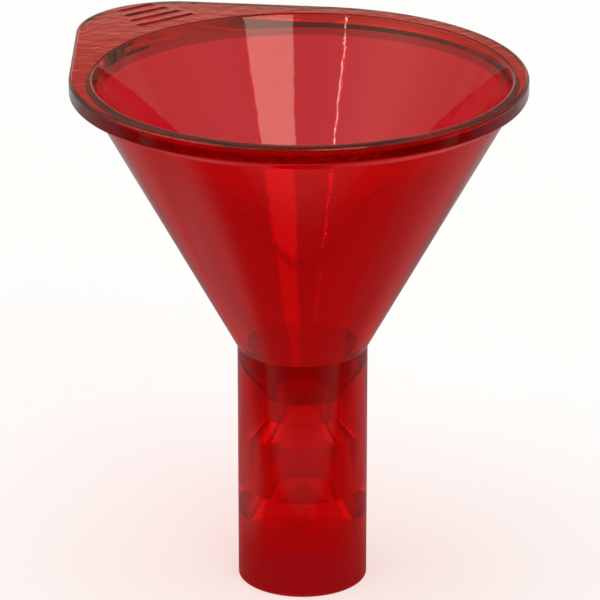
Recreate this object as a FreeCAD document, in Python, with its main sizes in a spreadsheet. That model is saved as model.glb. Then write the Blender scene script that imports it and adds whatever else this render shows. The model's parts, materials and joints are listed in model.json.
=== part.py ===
"""Small moulded funnel: a conical bowl with a flat thumb-tab flange over a short stepped drop tube.

The funnel is one moulding, kept here as zones that meet face to face. Millimetres, +Z up,
origin on the funnel's axis in the plane of the tube's open lower end. The thumb tab is the
plate's squared-off corner towards -X and +Y.
"""

import FreeCAD
import Part
import math
import os
import Sketcher

# Driving dimensions: alias, value in millimetres (tapers are radius per height), meaning.
DIMENSIONS = [
    ("rim_top", 64.4, "height of the flange's top face above the tube's end"),
    ("flange_thickness", 2.2, "thickness of the flat rim plate"),
    ("flange_radius", 27.3, "radius of the plate's round part"),
    ("flange_side_shift", 0.43, "how far the plate's centre lies towards -X, off the funnel's axis"),
    ("flange_back_shift", 1.0, "how far the plate's centre lies towards +Y, off the funnel's axis"),
    ("tab_corner_radius", 12.1, "radius of the thumb tab's rounded corner"),
    ("back_edge_angle", 7.4, "slant of the straight back edge, in degrees"),
    ("flange_edge_radius", 0.45, "rounding of the plate's outer edges"),
    ("mouth_radius", 24.95, "radius of the bowl's mouth at the top face"),
    ("mouth_edge_radius", 0.4, "rounding of the mouth's edge, from the top face to the cone"),
    ("ring_radius", 25.32, "outside of the cone where it meets the plate"),
    ("flare_width", 0.4, "width of the blend under the plate"),
    ("flare_height", 0.7, "height of the blend under the plate"),
    ("bowl_taper", 0.546, "inner wall: radius gained per height"),
    ("neck_top", 30.4, "height of the corner between cone and tube"),
    ("tube_radius", 7.9, "outside radius of the drop tube"),
    ("tube_edge_radius", 0.2, "rounding of the tube's lower outer edge"),
    ("throat_radius", 3.0, "radius of the narrowest passage"),
    ("throat_bottom", 21.5, "height of the throat's lower end"),
    ("small_socket_top_radius", 4.3, "small socket's radius at its inner end"),
    ("small_socket_radius", 4.9, "small socket's radius at its open end"),
    ("small_socket_top", 18.7, "height of the small socket's inner end"),
    ("small_socket_bottom", 11.6, "height of the small socket's open end"),
    ("mouth_socket_radius", 6.4, "radius of the large socket"),
    ("mouth_socket_top", 8.2, "height where the large socket starts to close in"),
    ("bar_width", 0.8, "width of one grip bar"),
    ("bar_height", 0.12, "height of the grip bars above the plate"),
    ("bar_edge_radius", 0.09, "rounding of the grip bars' top edges"),
    ("bar_pitch", 2.1, "distance between neighbouring grip bars"),
    ("bar_length", 8.4, "length of the innermost grip bar"),
    ("bar_step", 1.1, "how much shorter each further bar is"),
    ("first_bar_reach", 28.2, "distance of the innermost bar from the axis"),
]
BAR_COUNT = 4
BAR_DIRECTION_DEG = 127.0

# Radii and heights used by more than one zone, as expressions on the sheet.
UNDERSIDE = "dims.rim_top - dims.flange_thickness"
UNDERSIDE_BORE = "dims.mouth_radius - dims.flange_thickness * dims.bowl_taper"
NECK_BORE = "dims.mouth_radius - (dims.rim_top - dims.neck_top) * dims.bowl_taper"
THROAT_TOP = "dims.rim_top - (dims.mouth_radius - dims.throat_radius) / dims.bowl_taper"
RING_OUTER = "dims.ring_radius + dims.flare_width"

doc = FreeCAD.newDocument("funnel")


def make_sheet():
    """The sheet of driving dimensions, and the same numbers as a plain dictionary."""
    sheet = doc.addObject("Spreadsheet::Sheet", "dims")
    values = {}
    for row, (alias, value, meaning) in enumerate(DIMENSIONS, start=1):
        sheet.set(f"A{row}", meaning)
        sheet.set(f"B{row}", str(value))
        sheet.setAlias(f"B{row}", alias)
        values[alias] = value
    doc.recompute()
    return values


def new_body(label):
    """An empty body whose label is the sub-part's name."""
    body = doc.addObject("PartDesign::Body", label)
    body.Label = label
    body.Placement = FreeCAD.Placement()
    return body


def sketch_on(body, name, role):
    """A sketch on one of the body's own origin planes."""
    plane = next(item for item in body.Origin.OriginFeatures if item.Role == role)
    sketch = body.newObject("Sketcher::SketchObject", name)
    sketch.AttachmentSupport = (plane, [""])
    sketch.MapMode = "FlatFace"
    return sketch


def evaluate(expression):
    """The number that an expression on the sheet stands for, as a starting value."""
    found = SHEET_OWNER.evalExpression(expression)
    return float(getattr(found, "Value", found))


def bind(sketch, constraint, name, expression):
    """Adds a constraint under a name and lets the expression drive its value."""
    index = sketch.addConstraint(constraint)
    sketch.renameConstraint(index, name)
    sketch.setExpression(f"Constraints.{name}", expression)


def point_constraints(sketch, geometry, end, name, x_expression, y_expression):
    """Holds one end of a piece of geometry at a place given by two expressions."""
    x_value = evaluate(x_expression)
    y_value = evaluate(y_expression)
    if abs(x_value) > 0:
        constraint = Sketcher.Constraint("DistanceX", -1, 1, geometry, end, x_value)
        bind(sketch, constraint, f"{name}_x", x_expression)
    if abs(y_value) > 0:
        constraint = Sketcher.Constraint("DistanceY", -1, 1, geometry, end, y_value)
        bind(sketch, constraint, f"{name}_y", y_expression)
    else:
        sketch.addConstraint(Sketcher.Constraint("PointOnObject", geometry, end, -1))


def turned_zone(label, corners):
    """A ring-shaped zone: a closed outline of (name, radius, height) turned about the axis."""
    body = new_body(label)
    sketch = sketch_on(body, f"{label}_outline", "XZ_Plane")
    places = [(evaluate(radius), evaluate(height)) for _, radius, height in corners]
    count = len(corners)
    for index in range(count):
        start = FreeCAD.Vector(*places[index], 0)
        finish = FreeCAD.Vector(*places[(index + 1) % count], 0)
        sketch.addGeometry(Part.LineSegment(start, finish), False)
    for index in range(count):
        following = (index + 1) % count
        sketch.addConstraint(Sketcher.Constraint("Coincident", index, 2, following, 1))
    for index, (name, radius, height) in enumerate(corners):
        point_constraints(sketch, index, 1, name, radius, height)
    turned = body.newObject("PartDesign::Revolution", f"{label}_turned")
    turned.Profile = sketch
    turned.ReferenceAxis = (sketch, ["V_Axis"])
    turned.Angle = 360
    body.Tip = turned
    doc.recompute()
    return body


def round_edges(body, radius_expression, wanted):
    """Rounds the edges of the body's last feature that the wanted test picks."""
    base = body.Tip
    names = [
        f"Edge{number}"
        for number, edge in enumerate(base.Shape.Edges, start=1)
        if wanted(edge.BoundBox)
    ]
    fillet = body.newObject("PartDesign::Fillet", f"{body.Label}_rounding")
    fillet.Base = (base, names)
    fillet.setExpression("Radius", radius_expression)
    body.Tip = fillet
    doc.recompute()


def level(box, height):
    """Whether an edge's box lies flat at the height."""
    return abs(box.ZMin - height) < 1e-4 and abs(box.ZMax - height) < 1e-4


def make_mouth_socket():
    """Lower end of the tube: the large socket and the conical seat above it."""
    body = turned_zone("mouth_socket", [
        ("foot_inner", "dims.mouth_socket_radius", "0"),
        ("foot_outer", "dims.tube_radius", "0"),
        ("top_outer", "dims.tube_radius", "dims.small_socket_bottom"),
        ("seat_top", "dims.small_socket_radius", "dims.small_socket_bottom"),
        ("seat_bottom", "dims.mouth_socket_radius", "dims.mouth_socket_top"),
    ])
    middle = (SIZES["mouth_socket_radius"] + SIZES["tube_radius"]) / 2
    round_edges(body, "dims.tube_edge_radius",
                lambda box: level(box, 0) and box.XMax > middle)
    return body


def make_small_socket():
    """Middle of the tube: the tapered small socket and the flare down from the throat."""
    return turned_zone("small_socket", [
        ("bottom_inner", "dims.small_socket_radius", "dims.small_socket_bottom"),
        ("bottom_outer", "dims.tube_radius", "dims.small_socket_bottom"),
        ("top_outer", "dims.tube_radius", "dims.throat_bottom"),
        ("throat", "dims.throat_radius", "dims.throat_bottom"),
        ("socket_top", "dims.small_socket_top_radius", "dims.small_socket_top"),
    ])


def make_throat_neck():
    """Thick neck between bowl and sockets, with the narrow throat through it."""
    return turned_zone("throat_neck", [
        ("bottom_inner", "dims.throat_radius", "dims.throat_bottom"),
        ("bottom_outer", "dims.tube_radius", "dims.throat_bottom"),
        ("top_outer", "dims.tube_radius", "dims.neck_top"),
        ("top_inner", NECK_BORE, "dims.neck_top"),
        ("throat_top", "dims.throat_radius", THROAT_TOP),
    ])


def make_cone_bowl():
    """Conical wall of the bowl, with the small blend that carries the plate."""
    flare_foot = f"{UNDERSIDE} - dims.flare_height"
    cone_run = f"(dims.ring_radius - dims.tube_radius) / ({UNDERSIDE} - dims.neck_top)"
    flare_radius = f"dims.ring_radius - dims.flare_height * {cone_run}"
    return turned_zone("cone_bowl", [
        ("bottom_inner", NECK_BORE, "dims.neck_top"),
        ("bottom_outer", "dims.tube_radius", "dims.neck_top"),
        ("flare_foot", flare_radius, flare_foot),
        ("flare_top", RING_OUTER, UNDERSIDE),
        ("top_inner", UNDERSIDE_BORE, UNDERSIDE),
    ])


def make_mouth_ring():
    """The bowl's mouth: the ring that carries the cone's inner wall up through the plate."""
    body = turned_zone("mouth_ring", [
        ("bottom_inner", UNDERSIDE_BORE, UNDERSIDE),
        ("bottom_outer", RING_OUTER, UNDERSIDE),
        ("top_outer", RING_OUTER, "dims.rim_top"),
        ("top_inner", "dims.mouth_radius", "dims.rim_top"),
    ])
    middle = (SIZES["mouth_radius"] + SIZES["ring_radius"]) / 2
    round_edges(body, "dims.mouth_edge_radius",
                lambda box: level(box, SIZES["rim_top"]) and box.XMax < middle)
    return body


def plate_outline(sketch):
    """The plate's edge: a circle whose straight slanted back and flat left meet in a round corner."""
    radius = SIZES["flange_radius"]
    corner_radius = SIZES["tab_corner_radius"]
    slant = math.radians(SIZES["back_edge_angle"])
    normal = FreeCAD.Vector(math.sin(slant), math.cos(slant), 0)
    middle = FreeCAD.Vector(-SIZES["flange_side_shift"], SIZES["flange_back_shift"], 0)
    corner_x = corner_radius - radius
    corner_y = (radius - corner_radius - corner_x * normal.x) / normal.y
    corner_centre = middle + FreeCAD.Vector(corner_x, corner_y, 0)
    corner_left = corner_centre - FreeCAD.Vector(corner_radius, 0, 0)
    up = FreeCAD.Vector(0, 0, 1)
    upper = math.pi / 2 - slant
    outline = [
        Part.ArcOfCircle(Part.Circle(middle, up, radius), math.pi, 2 * math.pi + upper),
        Part.LineSegment(middle + normal * radius, corner_centre + normal * corner_radius),
        Part.ArcOfCircle(Part.Circle(corner_centre, up, corner_radius), upper, math.pi),
        Part.LineSegment(corner_left, middle - FreeCAD.Vector(radius, 0, 0)),
    ]
    circle, slanted, corner, left = range(len(outline))
    sketch.addGeometry(outline, False)
    start, end, centre = 1, 2, 3
    for first, second in [(circle, slanted), (slanted, corner), (corner, left), (left, circle)]:
        sketch.addConstraint(Sketcher.Constraint("Tangent", first, end, second, start))
    sketch.addConstraint(Sketcher.Constraint("Vertical", left))
    driven = [
        (Sketcher.Constraint("Radius", circle, radius), "plate_radius", "dims.flange_radius"),
        (Sketcher.Constraint("Radius", corner, corner_radius), "corner_radius", "dims.tab_corner_radius"),
        (Sketcher.Constraint("DistanceX", circle, centre, -1, 1, -middle.x),
         "side_shift", "dims.flange_side_shift"),
        (Sketcher.Constraint("DistanceY", -1, 1, circle, centre, middle.y),
         "back_shift", "dims.flange_back_shift"),
        (Sketcher.Constraint("Angle", -1, 1, slanted, end, -slant),
         "slant", "-dims.back_edge_angle * 1 deg"),
    ]
    for constraint, name, expression in driven:
        bind(sketch, constraint, name, expression)


def make_rim_flange():
    """Flat rim plate with the thumb tab, around the mouth ring."""
    body = new_body("rim_flange")
    outline = sketch_on(body, "rim_flange_outline", "XY_Plane")
    plate_outline(outline)
    outline.setExpression("AttachmentOffset.Base.z", UNDERSIDE)
    plate = body.newObject("PartDesign::Pad", "rim_flange_plate")
    plate.Profile = outline
    plate.setExpression("Length", "dims.flange_thickness")
    body.Tip = plate
    doc.recompute()
    round_edges(body, "dims.flange_edge_radius", lambda box: box.ZLength < 1e-4)

    hole = sketch_on(body, "rim_flange_hole", "XY_Plane")
    origin = FreeCAD.Vector(0, 0, 0)
    radius = evaluate(RING_OUTER)
    hole.addGeometry(Part.Circle(origin, FreeCAD.Vector(0, 0, 1), radius), False)
    hole.addConstraint(Sketcher.Constraint("Coincident", 0, 3, -1, 1))
    bind(hole, Sketcher.Constraint("Radius", 0, radius), "hole_radius", RING_OUTER)
    cut = body.newObject("PartDesign::Pocket", "rim_flange_opening")
    cut.Profile = hole
    cut.Type = "ThroughAll"
    cut.Reversed = True
    body.Tip = cut
    doc.recompute()
    if cut.Shape.Volume > plate.Shape.Volume * 0.9:
        raise RuntimeError("the mouth opening did not cut the plate")
    return body


def bar_outline(sketch, number):
    """One grip bar's outline: a slot across the tab, its length bound to the sheet."""
    across = math.radians(BAR_DIRECTION_DEG)
    outward = FreeCAD.Vector(math.cos(across), math.sin(across), 0)
    along = FreeCAD.Vector(-outward.y, outward.x, 0)
    half_width = SIZES["bar_width"] / 2
    half_run = (SIZES["bar_length"] - number * SIZES["bar_step"] - SIZES["bar_width"]) / 2
    middle = outward * (SIZES["first_bar_reach"] + number * SIZES["bar_pitch"])
    near = middle - along * half_run
    far = middle + along * half_run
    up = FreeCAD.Vector(0, 0, 1)
    first = sketch.GeometryCount
    sketch.addGeometry([
        Part.LineSegment(near + outward * half_width, far + outward * half_width),
        Part.ArcOfCircle(Part.Circle(far, up, half_width), across, across + math.pi),
        Part.LineSegment(far - outward * half_width, near - outward * half_width),
        Part.ArcOfCircle(Part.Circle(near, up, half_width), across + math.pi, across + 2 * math.pi),
    ], False)
    outer, far_end, inner, near_end = range(first, first + 4)
    start, end, centre = 1, 2, 3
    for one, one_end, other, other_end in [
        (outer, end, far_end, start), (far_end, end, inner, start),
        (inner, end, near_end, start), (near_end, end, outer, start),
    ]:
        sketch.addConstraint(Sketcher.Constraint("Tangent", one, one_end, other, other_end))
    sketch.addConstraint(Sketcher.Constraint("Equal", far_end, near_end))
    name = f"bar{number + 1}"
    bind(sketch, Sketcher.Constraint("Radius", far_end, half_width), f"{name}_round", "dims.bar_width / 2")
    run = f"dims.bar_length - {number} * dims.bar_step - dims.bar_width"
    bind(sketch, Sketcher.Constraint("Distance", far_end, centre, near_end, centre, 2 * half_run),
         f"{name}_run", run)
    reach = f"(dims.first_bar_reach + {number} * dims.bar_pitch)"
    turn = f"{BAR_DIRECTION_DEG} * 1 deg"
    half = f"({run}) / 2"
    point_constraints(sketch, far_end, centre, name,
                      f"{reach} * cos({turn}) - {half} * sin({turn})",
                      f"{reach} * sin({turn}) + {half} * cos({turn})")
    bind(sketch, Sketcher.Constraint("Angle", -1, 1, outer, start, across + math.pi / 2),
         f"{name}_turn", f"{turn} + 90 deg")


def make_grip_bars():
    """Low raised bars across the thumb tab, a group of separate ribs on its top face."""
    body = new_body("grip_bars")
    body.AllowCompound = True
    sketch = sketch_on(body, "grip_bars_outline", "XY_Plane")
    for number in range(BAR_COUNT):
        bar_outline(sketch, number)
    sketch.setExpression("AttachmentOffset.Base.z", "dims.rim_top")
    pad = body.newObject("PartDesign::Pad", "grip_bars_pad")
    pad.Profile = sketch
    pad.setExpression("Length", "dims.bar_height")
    body.Tip = pad
    doc.recompute()
    top = SIZES["rim_top"] + SIZES["bar_height"]
    round_edges(body, "dims.bar_edge_radius", lambda box: level(box, top))
    return body


def check_and_write(bodies):
    """Stops on any failed object or bad shape, then writes one STEP file per sub-part."""
    doc.recompute()
    for item in doc.Objects:
        if "Invalid" in item.State or "Error" in item.State:
            raise RuntimeError(f"{item.Label} failed: {item.State}")
    for body in bodies:
        if body.Shape.isNull() or not body.Shape.isValid():
            raise RuntimeError(f"{body.Label} has no valid shape")
    os.makedirs("parts", exist_ok=True)
    for body in bodies:
        body.Shape.exportStep(f"parts/{body.Label}.step")
        solids = len(body.Shape.Solids)
        print(f"{body.Label}: {solids} solid(s), {body.Shape.Volume:.1f} mm3")


SIZES = make_sheet()
SHEET_OWNER = doc.getObject("dims")
check_and_write([
    make_mouth_socket(),
    make_small_socket(),
    make_throat_neck(),
    make_cone_bowl(),
    make_mouth_ring(),
    make_rim_flange(),
    make_grip_bars(),
])
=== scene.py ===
"""Looks of the small red funnel: one clear moulding, on a pale studio floor.

The moulding is built as six zones, each a closed mesh. Where two zones meet, both have a seam
face: the material lets light pass straight through seam faces, so that the zones look like the
single moulding that they are. The grip bars are part of the rim plate's mesh.
"""

import json
import math

import bmesh
import bpy
from mathutils import Matrix, Vector


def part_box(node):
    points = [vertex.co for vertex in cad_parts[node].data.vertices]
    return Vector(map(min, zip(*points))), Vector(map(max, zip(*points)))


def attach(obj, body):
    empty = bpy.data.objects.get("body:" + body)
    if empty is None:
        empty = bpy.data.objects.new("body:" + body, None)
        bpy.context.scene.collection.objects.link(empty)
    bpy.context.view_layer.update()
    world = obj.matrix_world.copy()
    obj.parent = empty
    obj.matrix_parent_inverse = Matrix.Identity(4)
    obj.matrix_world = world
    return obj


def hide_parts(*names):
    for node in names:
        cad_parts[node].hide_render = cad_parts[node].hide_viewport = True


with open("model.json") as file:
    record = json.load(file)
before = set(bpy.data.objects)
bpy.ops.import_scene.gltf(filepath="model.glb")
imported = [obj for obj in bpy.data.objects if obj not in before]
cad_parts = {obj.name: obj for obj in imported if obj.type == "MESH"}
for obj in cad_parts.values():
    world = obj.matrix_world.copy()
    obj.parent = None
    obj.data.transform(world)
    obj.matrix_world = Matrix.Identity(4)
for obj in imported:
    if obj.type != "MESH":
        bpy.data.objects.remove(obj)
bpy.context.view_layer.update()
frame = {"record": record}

MM = 0.001

# ---------------------------------------------------------------- sizes, in millimetres
TUBE_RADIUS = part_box("mouth_socket")[1].x / MM
SOCKET_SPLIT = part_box("mouth_socket")[1].z / MM
THROAT_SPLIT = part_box("throat_neck")[0].z / MM
NECK_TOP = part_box("throat_neck")[1].z / MM
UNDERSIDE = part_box("rim_flange")[0].z / MM
RIM_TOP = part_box("rim_flange")[1].z / MM
RING_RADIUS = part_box("mouth_ring")[1].x / MM
PLATE_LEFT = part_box("rim_flange")[0].x / MM
PLATE_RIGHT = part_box("rim_flange")[1].x / MM
PLATE_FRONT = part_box("rim_flange")[0].y / MM
BAR_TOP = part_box("grip_bars")[1].z / MM

# The rim plate and the thumb tab that grows out of it.
PLATE_RADIUS = (PLATE_RIGHT - PLATE_LEFT) / 2
PLATE_CENTRE = Vector(((PLATE_RIGHT + PLATE_LEFT) / 2, PLATE_FRONT + PLATE_RADIUS))
TAB_CORNER_RADIUS = 12.1
BACK_EDGE_SLANT = math.radians(7.4)
PLATE_EDGE_RADIUS = 0.45

# The grip bars, each shorter than the last, counted outwards from the plate's middle.
BAR_COUNT = 4
BAR_DIRECTION = math.radians(127.0)
BAR_WIDTH = 0.8
BAR_PITCH = 2.1
BAR_LENGTH = 8.4
BAR_STEP = 1.1
FIRST_BAR_REACH = 28.2
BAR_SLOPE = 0.6

# The bowl, and the flare where its outside meets the plate.
MOUTH_RADIUS = 24.95
MOUTH_EDGE_RADIUS = 0.4
BOWL_TAPER = 0.546
FLARE_WIDTH = 0.4
FLARE_HEIGHT = 0.7
FLARE_ROUNDING = 0.6
CONE_TOP_RADIUS = RING_RADIUS - FLARE_WIDTH

# The tube's inside, from the foot up.
case_socket = next(m["dims"] for m in frame["record"]["mounts"] if m["name"] == "case_socket")
MOUTH_SOCKET_RADIUS = case_socket["r_mm"]
MOUTH_SOCKET_TOP = case_socket["length_mm"]
SMALL_SOCKET_RADIUS = 4.9
SMALL_SOCKET_TOP_RADIUS = 4.3
SMALL_SOCKET_TOP = 18.7
THROAT_RADIUS = 3.0
THROAT_TOP = RIM_TOP - (MOUTH_RADIUS - THROAT_RADIUS) / BOWL_TAPER
FOOT_OUTER_EDGE = 0.2
FOOT_INNER_EDGE = 0.15
STEP_EDGE = 0.25

# The zones stand this far apart, so that their seam faces don't touch.
SEAM_GAP = 0.006

# ---------------------------------------------------------------- fineness of the meshes
TURN_STEPS = 720
ROUNDING_STEP_DEG = 4.5
SHARP_FROM_DEG = 28
# Short strips of this width beside each rounding keep the flat faces next to it evenly lit.
HOLD = 0.04
PLATE_HOLD = 0.03
PLATE_ARC_STEPS = 500
PLATE_SIDE_STEPS = 90
PLATE_TOP_ROWS = 64
PLATE_ROUNDING_STEPS = 10


# ---------------------------------------------------------------- shader helpers
def empty_tree(owner):
    """The shader tree of a material or world, with nothing in it yet."""
    owner.use_nodes = True
    owner.node_tree.nodes.clear()
    return owner.node_tree


def node(tree, kind, inputs=None, **settings):
    """A shader node. inputs gives sockets, by name or number, a plain value or a node's output."""
    made = tree.nodes.new(kind)
    for name, value in settings.items():
        setattr(made, name, value)
    for socket, value in (inputs or {}).items():
        if isinstance(value, bpy.types.NodeSocket):
            tree.links.new(value, made.inputs[socket])
        else:
            made.inputs[socket].default_value = value
    return made


def maths(tree, operation, first, second):
    """The result of one sum."""
    return node(tree, "ShaderNodeMath", {0: first, 1: second}, operation=operation).outputs[0]


# The numbers of a mix node's sockets for colours.
MIX_SHARE = 0
MIX_FIRST = 6
MIX_SECOND = 7
MIX_RESULT = 2


def mixed(tree, share, first, second):
    """A mix of two colours: all of the first at share 0, all of the second at share 1."""
    inputs = {MIX_SHARE: share, MIX_FIRST: first, MIX_SECOND: second}
    return node(tree, "ShaderNodeMix", inputs, data_type="RGBA").outputs[MIX_RESULT]


def mixed_shaders(tree, share, first, second):
    """A mix of two shaders: all of the first at share 0, all of the second at share 1."""
    return node(tree, "ShaderNodeMixShader", {0: share, 1: first, 2: second}).outputs[0]


def colour_ramp(tree, value, stops):
    """The colour for a value, from stops of (value, colour) with even blends between them."""
    made = node(tree, "ShaderNodeValToRGB", {0: value})
    elements = made.color_ramp.elements
    elements.remove(elements[1])
    for number, (place, colour) in enumerate(stops):
        element = elements.new(place) if number else elements[0]
        element.position = place
        element.color = colour
    return made.outputs[0]


def plain_grey(level):
    """A grey as red, green, blue and opacity."""
    return (level, level, level, 1)


# ---------------------------------------------------------------- the plastic
# How much the plastic absorbs per metre: little of the red, most of the green and blue.
RED_ABSORBED = 12.0
GREEN_ABSORBED = 3000.0
BLUE_ABSORBED = 2300.0
REFRACTIVE_INDEX = 1.57
SKIN_COLOUR = (1.0, 0.97, 0.97, 1.0)
# What a lamp's light keeps each time it passes the skin on its way to the floor.
SHADOW_TINT = (0.99, 0.95, 0.95, 1.0)
# The skin's faint waviness: features of 1 to 2 mm, a few micrometres deep.
WAVES_PER_METRE = 600.0
WAVE_DETAIL = 3.0
WAVE_STRENGTH = 0.7
WAVE_DEPTH = 0.00002


def red_plastic():
    """Clear red moulded plastic: refracting skin, red inside, seams that show nothing."""
    material = bpy.data.materials.new("clear_red_plastic")
    tree = empty_tree(material)

    waves = node(tree, "ShaderNodeTexNoise", {
        "Vector": node(tree, "ShaderNodeTexCoord").outputs["Object"],
        "Scale": WAVES_PER_METRE,
        "Detail": WAVE_DETAIL,
    })
    bump = node(tree, "ShaderNodeBump", {
        "Height": waves.outputs["Fac"],
        "Strength": WAVE_STRENGTH,
        "Distance": WAVE_DEPTH,
    })
    skin = node(tree, "ShaderNodeBsdfPrincipled", {
        "Base Color": SKIN_COLOUR,
        "Transmission Weight": 1.0,
        "IOR": REFRACTIVE_INDEX,
        "Roughness": 0.0,
        "Normal": bump.outputs["Normal"],
    })

    on_seam = node(tree, "ShaderNodeAttribute", attribute_name="seam").outputs["Fac"]
    clear = node(tree, "ShaderNodeBsdfTransparent")
    skin_or_seam = mixed_shaders(tree, on_seam, skin.outputs[0], clear.outputs[0])

    in_shadow = node(tree, "ShaderNodeLightPath").outputs["Is Shadow Ray"]
    shade = node(tree, "ShaderNodeBsdfTransparent", {"Color": SHADOW_TINT})
    surface = mixed_shaders(tree, in_shadow, skin_or_seam, shade.outputs[0])

    # Absorption is density * (1 - colour), so green, the most absorbed, has colour 0.
    absorbed = (RED_ABSORBED, GREEN_ABSORBED, BLUE_ABSORBED)
    passed = [1 - part / GREEN_ABSORBED for part in absorbed]
    inside = node(tree, "ShaderNodeVolumeAbsorption", {
        "Color": (*passed, 1.0),
        "Density": GREEN_ABSORBED,
    })
    node(tree, "ShaderNodeOutputMaterial", {"Surface": surface, "Volume": inside.outputs[0]})
    return material


# ---------------------------------------------------------------- pieces
def closed_mesh(rings, seams):
    """A closed mesh of rings of places, each joined to the next and the last to the first.

    seams says of each ring whether the faces between it and the next are seam faces.
    """
    build = bmesh.new()
    seam_layer = build.faces.layers.float.new("seam")
    corners = [[build.verts.new(place) for place in ring] for ring in rings]
    for number, ring in enumerate(corners):
        following = corners[(number + 1) % len(corners)]
        for index in range(len(ring)):
            beside = (index + 1) % len(ring)
            face = build.faces.new((ring[index], ring[beside], following[beside], following[index]))
            face[seam_layer] = 1.0 if seams[number] else 0.0
    bmesh.ops.recalc_face_normals(build, faces=build.faces)
    return build


def add_piece(name, rings, seams, material, nodes):
    """A smooth-shaded piece, sharp only where faces meet at a corner, that stands for CAD nodes."""
    build = closed_mesh(rings, seams)
    mesh = bpy.data.meshes.new(name)
    build.to_mesh(mesh)
    build.free()
    mesh.polygons.foreach_set("use_smooth", [True] * len(mesh.polygons))
    mesh.set_sharp_from_angle(angle=math.radians(SHARP_FROM_DEG))
    piece = bpy.data.objects.new(name, mesh)
    bpy.context.scene.collection.objects.link(piece)
    mesh.materials.append(material)
    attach(piece, "root")
    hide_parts(*nodes)


# ---------------------------------------------------------------- the turned zones
class Outline:
    """A closed outline in (radius, height), walked once round, with rounded corners and seams."""

    def __init__(self):
        self.corners = []

    def corner(self, radius, height, rounding=0.0, seam=False):
        """Adds a corner. seam marks the straight edge that leaves it."""
        self.corners.append((Vector((radius, height)), rounding, seam))
        return self

    def points(self):
        """The outline's points, each with whether the edge to the next one is a seam."""
        found = []
        count = len(self.corners)
        for index in range(count):
            here, rounding, seam = self.corners[index]
            before, _, seam_before = self.corners[index - 1]
            after = self.corners[(index + 1) % count][0]
            back = (before - here).normalized()
            forth = (after - here).normalized()
            half_turn = back.angle(forth) / 2
            setback = rounding / math.tan(half_turn)
            found.append((here + back * (setback + HOLD), seam_before))
            if rounding > 0:
                centre = here + (back + forth).normalized() * (rounding / math.sin(half_turn))
                first = here + back * setback - centre
                last = here + forth * setback - centre
                sweep = first.angle_signed(last)
                steps = math.ceil(abs(math.degrees(sweep)) / ROUNDING_STEP_DEG)
                for step in range(steps):
                    spoke = first.copy()
                    spoke.rotate(Matrix.Rotation(-sweep * step / steps, 2))
                    found.append((centre + spoke, False))
            found.append((here + forth * setback, seam))
            found.append((here + forth * (setback + HOLD), seam))
        return found


def turned_ring(radius, height):
    """A circle of places about the Z axis."""
    ring = []
    for step in range(TURN_STEPS):
        turn = 2 * math.pi * step / TURN_STEPS
        ring.append((radius * math.cos(turn) * MM, radius * math.sin(turn) * MM, height * MM))
    return ring


def bowl_radius(height):
    """The bowl's inner radius at a height: one straight cone from throat to mouth."""
    return MOUTH_RADIUS - (RIM_TOP - height) * BOWL_TAPER


def build_turned_zones(material):
    """The five zones that are rings about the axis."""
    half_gap = SEAM_GAP / 2
    cone_slope = (CONE_TOP_RADIUS - TUBE_RADIUS) / (UNDERSIDE - NECK_TOP)
    flare_radius = CONE_TOP_RADIUS - FLARE_HEIGHT * cone_slope
    outlines = {
        "mouth_socket": Outline()
        .corner(MOUTH_SOCKET_RADIUS, 0, FOOT_INNER_EDGE)
        .corner(TUBE_RADIUS, 0, FOOT_OUTER_EDGE)
        .corner(TUBE_RADIUS, SOCKET_SPLIT - half_gap, seam=True)
        .corner(SMALL_SOCKET_RADIUS, SOCKET_SPLIT - half_gap)
        .corner(MOUTH_SOCKET_RADIUS, MOUTH_SOCKET_TOP, STEP_EDGE),
        "small_socket": Outline()
        .corner(SMALL_SOCKET_RADIUS, SOCKET_SPLIT + half_gap, seam=True)
        .corner(TUBE_RADIUS, SOCKET_SPLIT + half_gap)
        .corner(TUBE_RADIUS, THROAT_SPLIT - half_gap, seam=True)
        .corner(THROAT_RADIUS, THROAT_SPLIT - half_gap)
        .corner(SMALL_SOCKET_TOP_RADIUS, SMALL_SOCKET_TOP, STEP_EDGE),
        "throat_neck": Outline()
        .corner(THROAT_RADIUS, THROAT_SPLIT + half_gap, seam=True)
        .corner(TUBE_RADIUS, THROAT_SPLIT + half_gap)
        .corner(TUBE_RADIUS, NECK_TOP - half_gap, seam=True)
        .corner(bowl_radius(NECK_TOP), NECK_TOP - half_gap)
        .corner(THROAT_RADIUS, THROAT_TOP, STEP_EDGE),
        "cone_bowl": Outline()
        .corner(bowl_radius(NECK_TOP), NECK_TOP + half_gap, seam=True)
        .corner(TUBE_RADIUS, NECK_TOP + half_gap)
        .corner(flare_radius, UNDERSIDE - FLARE_HEIGHT, FLARE_ROUNDING)
        .corner(RING_RADIUS - half_gap, UNDERSIDE - half_gap, seam=True)
        .corner(bowl_radius(UNDERSIDE), UNDERSIDE - half_gap),
        "mouth_ring": Outline()
        .corner(bowl_radius(UNDERSIDE), UNDERSIDE + half_gap, seam=True)
        .corner(RING_RADIUS - half_gap, UNDERSIDE + half_gap, seam=True)
        .corner(RING_RADIUS - half_gap, RIM_TOP)
        .corner(MOUTH_RADIUS, RIM_TOP, MOUTH_EDGE_RADIUS),
    }
    for name, outline in outlines.items():
        points = outline.points()
        rings = [turned_ring(place.x, place.y) for place, _ in points]
        seams = [seam for _, seam in points]
        add_piece(f"{name}_visual", rings, seams, material, [name])


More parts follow.
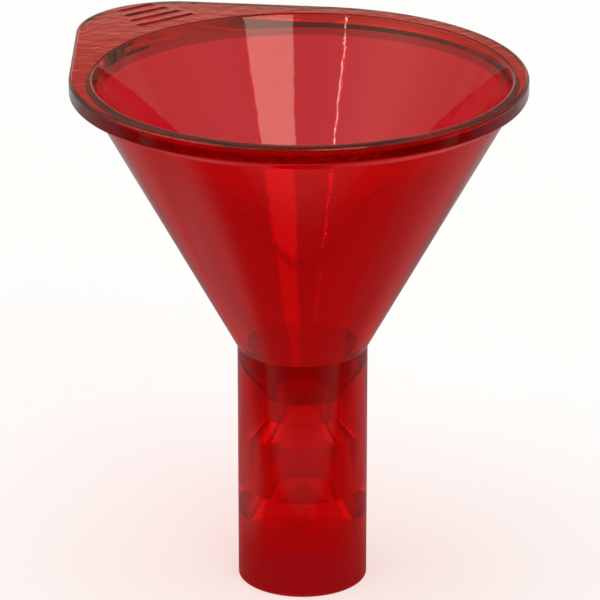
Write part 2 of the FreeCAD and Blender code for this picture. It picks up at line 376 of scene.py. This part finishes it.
# ---------------------------------------------------------------- the rim plate
def plate_edge():
    """Points round the plate's edge with their outward directions, walked anticlockwise."""
    normal = Vector((math.sin(BACK_EDGE_SLANT), math.cos(BACK_EDGE_SLANT)))
    corner_x = TAB_CORNER_RADIUS - PLATE_RADIUS
    corner_y = (PLATE_RADIUS - TAB_CORNER_RADIUS - corner_x * normal.x) / normal.y
    corner = PLATE_CENTRE + Vector((corner_x, corner_y))
    left = Vector((-1, 0))
    upper = math.pi / 2 - BACK_EDGE_SLANT
    edge = []

    def arc(centre, radius, start, end, steps):
        for step in range(steps):
            turn = start + (end - start) * step / steps
            outward = Vector((math.cos(turn), math.sin(turn)))
            edge.append((centre + outward * radius, outward))

    def straight(begin, end, outward):
        for step in range(PLATE_SIDE_STEPS):
            edge.append((begin.lerp(end, step / PLATE_SIDE_STEPS), outward))

    arc(PLATE_CENTRE, PLATE_RADIUS, -math.pi, upper, PLATE_ARC_STEPS)
    straight(PLATE_CENTRE + normal * PLATE_RADIUS, corner + normal * TAB_CORNER_RADIUS, normal)
    arc(corner, TAB_CORNER_RADIUS, upper, math.pi, PLATE_SIDE_STEPS)
    straight(corner + left * TAB_CORNER_RADIUS, PLATE_CENTRE + left * PLATE_RADIUS, left)
    return edge


def inset_spots(edge, inset):
    """The edge's points, moved inwards."""
    return [point - outward * inset for point, outward in edge]


def flat_spots(edge, share):
    """Spots round a flat face: along its hole at share 0, beside the edge's rounding at share 1."""
    hole = RING_RADIUS + SEAM_GAP / 2
    outer = inset_spots(edge, PLATE_EDGE_RADIUS + PLATE_HOLD)
    return [(point.normalized() * hole).lerp(spot, share) for (point, _), spot in zip(edge, outer)]


def level_ring(spots, height):
    """Places above the spots, all at one height."""
    return [Vector((spot.x, spot.y, height)) * MM for spot in spots]


def bar_height(x, y):
    """Height of the grip bars above the plate at a place: rounded ribs across the tab."""
    out = x * math.cos(BAR_DIRECTION) + y * math.sin(BAR_DIRECTION)
    along = -x * math.sin(BAR_DIRECTION) + y * math.cos(BAR_DIRECTION)
    best = 0.0
    for number in range(BAR_COUNT):
        run = (BAR_LENGTH - number * BAR_STEP - BAR_WIDTH) / 2
        beyond = max(0.0, abs(along) - run)
        away = math.hypot(out - FIRST_BAR_REACH - number * BAR_PITCH, beyond)
        share = min(1.0, max(0.0, (BAR_WIDTH / 2 + BAR_SLOPE / 3 - away) / BAR_SLOPE))
        best = max(best, share * share * (3 - 2 * share))
    return best * (BAR_TOP - RIM_TOP)


def top_ring(spots):
    """Places on the plate's top face, over the grip bars where there are any."""
    return [Vector((spot.x, spot.y, RIM_TOP + bar_height(spot.x, spot.y))) * MM for spot in spots]


def build_plate(material):
    """The flat rim plate with its thumb tab, rounded edges and grip bars."""
    edge = plate_edge()
    rounding = PLATE_EDGE_RADIUS
    turns = [math.radians(90 * step / PLATE_ROUNDING_STEPS) for step in range(PLATE_ROUNDING_STEPS + 1)]

    rings = [top_ring(flat_spots(edge, row / PLATE_TOP_ROWS)) for row in range(PLATE_TOP_ROWS + 1)]
    for turn in turns:
        spots = inset_spots(edge, rounding * (1 - math.sin(turn)))
        rings.append(level_ring(spots, RIM_TOP - rounding * (1 - math.cos(turn))))
    side = inset_spots(edge, 0)
    rings.append(level_ring(side, RIM_TOP - rounding - HOLD))
    rings.append(level_ring(side, UNDERSIDE + rounding + HOLD))
    for turn in reversed(turns):
        spots = inset_spots(edge, rounding * (1 - math.sin(turn)))
        rings.append(level_ring(spots, UNDERSIDE + rounding * (1 - math.cos(turn))))
    rings.append(level_ring(flat_spots(edge, 1), UNDERSIDE))
    rings.append(level_ring(flat_spots(edge, 0), UNDERSIDE))

    # The last faces, from the underside back up to the top face, are the wall of the hole.
    seams = [False] * (len(rings) - 1) + [True]
    add_piece("rim_flange_visual", rings, seams, material, ["rim_flange", "grip_bars"])


# ---------------------------------------------------------------- the floor
FLOOR_SIZE = 6.0
FLOOR_PALE = 0.93

# The floor's painted light and shade, as the plastic shows it: (metres towards +Y, red, green and
# blue). It is painted red light that the funnel throws round itself, darker at the front; further back
# the floor is plain grey.
FLOOR_LIGHT_BANDS = [
    (-0.12, 0.10, 0.01), (-0.075, 0.36, 0.02), (-0.06, 0.40, 0.10), (-0.05, 0.40, 0.19),
    (-0.038, 0.38, 0.17), (-0.03, 0.35, 0.03), (-0.013, 0.32, 0.05), (-0.003, 0.28, 0.09),
    (0.004, 0.31, 0.10), (0.013, 0.38, 0.14), (0.025, 0.40, 0.18), (0.045, 0.46, 0.21),
    (0.06, 0.41, 0.23), (0.09, 0.35, 0.33), (0.13, 0.36, 0.36), (0.15, 0.50, 0.50),
    (0.30, 0.50, 0.50), (0.50, 0.30, 0.30),
]

# Soft round spots of painted light and shade on that floor: (x, y, radius that is full, radius where it
# ends, red, green and blue). A painted shadow behind the tube, a painted pool of light to its left, and
# two dim spots of painted shade for the cone's edges.
FLOOR_LIGHT_AND_SHADE_SPOTS = [
    (0.0, 0.034, 0.006, 0.022, 0.34, 0.12),
    (-0.04, 0.006, 0.010, 0.026, 0.42, 0.27),
    (-0.036, 0.068, 0.012, 0.026, 0.31, 0.22),
    (0.036, 0.068, 0.012, 0.026, 0.31, 0.22),
]


def painted_floor_light(tree):
    """The floor's painted light and shade by place: bands from front to back, with the soft spots laid
    on them.
    """
    place = node(tree, "ShaderNodeNewGeometry").outputs["Position"]
    depth = node(tree, "ShaderNodeSeparateXYZ", {0: place}).outputs["Y"]
    near = FLOOR_LIGHT_BANDS[0][0]
    far = FLOOR_LIGHT_BANDS[-1][0]
    share = node(tree, "ShaderNodeMapRange", {"Value": depth, "From Min": near, "From Max": far})
    stops = [((y - near) / (far - near), (red, rest, rest, 1)) for y, red, rest in FLOOR_LIGHT_BANDS]
    painted_light = colour_ramp(tree, share.outputs[0], stops)
    for x, y, inner, outer, red, rest in FLOOR_LIGHT_AND_SHADE_SPOTS:
        away = node(tree, "ShaderNodeVectorMath", {0: place, 1: (x, y, 0)}, operation="DISTANCE")
        fade = node(tree, "ShaderNodeMapRange", {
            "Value": away.outputs["Value"], "From Min": inner, "From Max": outer,
        }, interpolation_type="SMOOTHSTEP")
        painted_light = mixed(tree, fade.outputs[0], (red, rest, rest, 1), painted_light)
    return painted_light


def build_floor():
    """A plain pale floor to the camera, and one that glows with painted light and shade to everything
    that the plastic shows.
    """
    bpy.ops.mesh.primitive_plane_add(size=FLOOR_SIZE, location=(0, 0, 0))
    floor = bpy.context.object
    floor.name = "floor"
    material = bpy.data.materials.new("pale_floor")
    tree = empty_tree(material)

    # Half of the pale floor shines of itself, which keeps the funnel's shadow on it faint.
    matt = node(tree, "ShaderNodeBsdfDiffuse", {"Color": plain_grey(FLOOR_PALE)})
    shining = node(tree, "ShaderNodeEmission")
    pale = mixed_shaders(tree, 0.5, matt.outputs[0], shining.outputs[0])
    # To all but the camera, the floor glows with its painted light and shade.
    painted_glow = node(tree, "ShaderNodeEmission", {"Color": painted_floor_light(tree)})
    to_camera = node(tree, "ShaderNodeLightPath").outputs["Is Camera Ray"]
    surface = mixed_shaders(tree, to_camera, painted_glow.outputs[0], pale)
    node(tree, "ShaderNodeOutputMaterial", {"Surface": surface})
    floor.data.materials.append(material)


# ---------------------------------------------------------------- the surroundings
BACKDROP_PALE = 0.97

# What the plastic shows on each side: (elevation in degrees, grey), from the horizon up.
SURROUNDINGS = {
    "back": [
        (0, 0.5), (11, 0.5), (13, 0.75), (16.4, 0.72), (17.9, 0.2), (31, 0.2), (36, 0.05), (90, 0.05),
    ],
    "front": [(0, 0.04), (24, 0.04), (29, 0.52), (60, 0.52), (75, 0.2)],
    "left": [(0, 0.1), (10, 0.2), (18, 0.5), (26, 0.65), (34, 1.1), (60, 1.0), (90, 0.6)],
    "right": [(0, 0.1), (8, 0.2), (15, 0.42), (25, 0.52), (33, 0.66), (60, 0.66), (90, 0.4)],
}

# These greys are warm: this is the share of blue that they keep.
WARMTH = 0.78


def side_tone(tree, rise, stops):
    """A side's warm greys by elevation. rise is the direction's Z, which is the elevation's sine."""
    colours = [
        (math.sin(math.radians(elevation)), (grey, grey, grey * WARMTH, 1)) for elevation, grey in stops
    ]
    return colour_ramp(tree, rise, colours)


def build_world():
    """Soft surroundings: white to the camera, with light and dark zones for the plastic to show."""
    world = bpy.data.worlds.new("studio")
    bpy.context.scene.world = world
    tree = empty_tree(world)
    direction = node(tree, "ShaderNodeTexCoord").outputs["Generated"]
    x, y, z = node(tree, "ShaderNodeSeparateXYZ", {0: direction}).outputs
    tones = {side: side_tone(tree, z, stops) for side, stops in SURROUNDINGS.items()}
    along = mixed(tree, maths(tree, "GREATER_THAN", y, 0.0), tones["front"], tones["back"])
    across = mixed(tree, maths(tree, "GREATER_THAN", x, 0.0), tones["left"], tones["right"])
    x_square = maths(tree, "MULTIPLY", x, x)
    y_square = maths(tree, "MULTIPLY", y, y)
    sideways = maths(tree, "DIVIDE", x_square, maths(tree, "ADD", x_square, y_square))
    shown = mixed(tree, sideways, along, across)
    to_camera = node(tree, "ShaderNodeLightPath").outputs["Is Camera Ray"]
    seen = mixed(tree, to_camera, shown, plain_grey(BACKDROP_PALE))
    background = node(tree, "ShaderNodeBackground", {"Color": seen})
    node(tree, "ShaderNodeOutputWorld", {"Surface": background.outputs[0]})


# ---------------------------------------------------------------- lights, in metres and watts
# The lights look at the axis, at this share of the funnel's height.
LIT_SHARE = 0.8


def aim(thing, target):
    """Turns a light or camera so that it looks at the target."""
    direction = Vector(target) - thing.location
    thing.rotation_euler = direction.to_track_quat("-Z", "Y").to_euler()


def softbox(name, azimuth, elevation, distance, width, height, power, colour):
    """An area light. Azimuth 0 is the camera's side, and it grows towards the camera's right."""
    light = bpy.data.lights.new(name, "AREA")
    light.shape = "RECTANGLE"
    light.size = width
    light.size_y = height
    light.energy = power
    light.color = colour
    box = bpy.data.objects.new(name, light)
    bpy.context.scene.collection.objects.link(box)
    around = math.radians(azimuth)
    up = math.radians(elevation)
    centre = Vector((0, 0, RIM_TOP * MM * LIT_SHARE))
    box.location = centre + distance * Vector((
        math.sin(around) * math.cos(up), -math.cos(around) * math.cos(up), math.sin(up),
    ))
    aim(box, centre)
    return box


def build_lights():
    """A warm broad strip and a thin slit, mirrored by the bowl, and a soft light overhead."""
    softbox("strip_right", azimuth=22, elevation=42, distance=1.2, width=0.504, height=0.55,
            power=2.2, colour=(1.0, 0.94, 0.75))
    softbox("slit_left", azimuth=-28.2, elevation=42, distance=1.2, width=0.014, height=0.5,
            power=0.19, colour=(1.0, 0.86, 0.76))
    overhead = softbox("overhead", azimuth=0, elevation=90, distance=1.6, width=1.6, height=1.6,
                       power=20.5, colour=(0.85, 0.87, 1.0))
    overhead.visible_glossy = False
    overhead.visible_transmission = False


# ---------------------------------------------------------------- the camera, in metres
CAMERA_TARGET = Vector((-0.00031, 0, 0.03594))
CAMERA_DISTANCE = 0.493
CAMERA_PITCH = math.radians(21.25)
CAMERA_NEAREST = 0.01
CAMERA_LENS_MM = 244.8
CAMERA_SENSOR_MM = 36.0


def build_camera():
    """A long lens in front of the funnel, looking down at it a little."""
    camera = bpy.data.cameras.new("camera")
    camera.sensor_width = CAMERA_SENSOR_MM
    camera.lens = CAMERA_LENS_MM
    camera.clip_start = CAMERA_NEAREST
    stand = bpy.data.objects.new("camera", camera)
    bpy.context.scene.collection.objects.link(stand)
    towards_camera = Vector((0, -math.cos(CAMERA_PITCH), math.sin(CAMERA_PITCH)))
    stand.location = CAMERA_TARGET + CAMERA_DISTANCE * towards_camera
    aim(stand, CAMERA_TARGET)
    bpy.context.scene.camera = stand


# Light that is guided inside the cone's wall to the rim takes dozens of bounces.
LIGHT_BOUNCES = 128
# Rays of indirect light brighter than this are cut down to it, which keeps speckles away.
BRIGHTEST_INDIRECT = 8.0


def set_light_paths():
    """Enough bounces for light to reach the rim and the neck through the clear moulding."""
    cycles = bpy.context.scene.cycles
    cycles.max_bounces = LIGHT_BOUNCES
    cycles.transmission_bounces = LIGHT_BOUNCES
    cycles.glossy_bounces = LIGHT_BOUNCES
    cycles.transparent_max_bounces = LIGHT_BOUNCES
    cycles.sample_clamp_indirect = BRIGHTEST_INDIRECT
    bpy.context.scene.view_settings.view_transform = "Standard"


plastic = red_plastic()
build_turned_zones(plastic)
build_plate(plastic)
build_floor()
build_world()
build_lights()
build_camera()
set_light_paths()
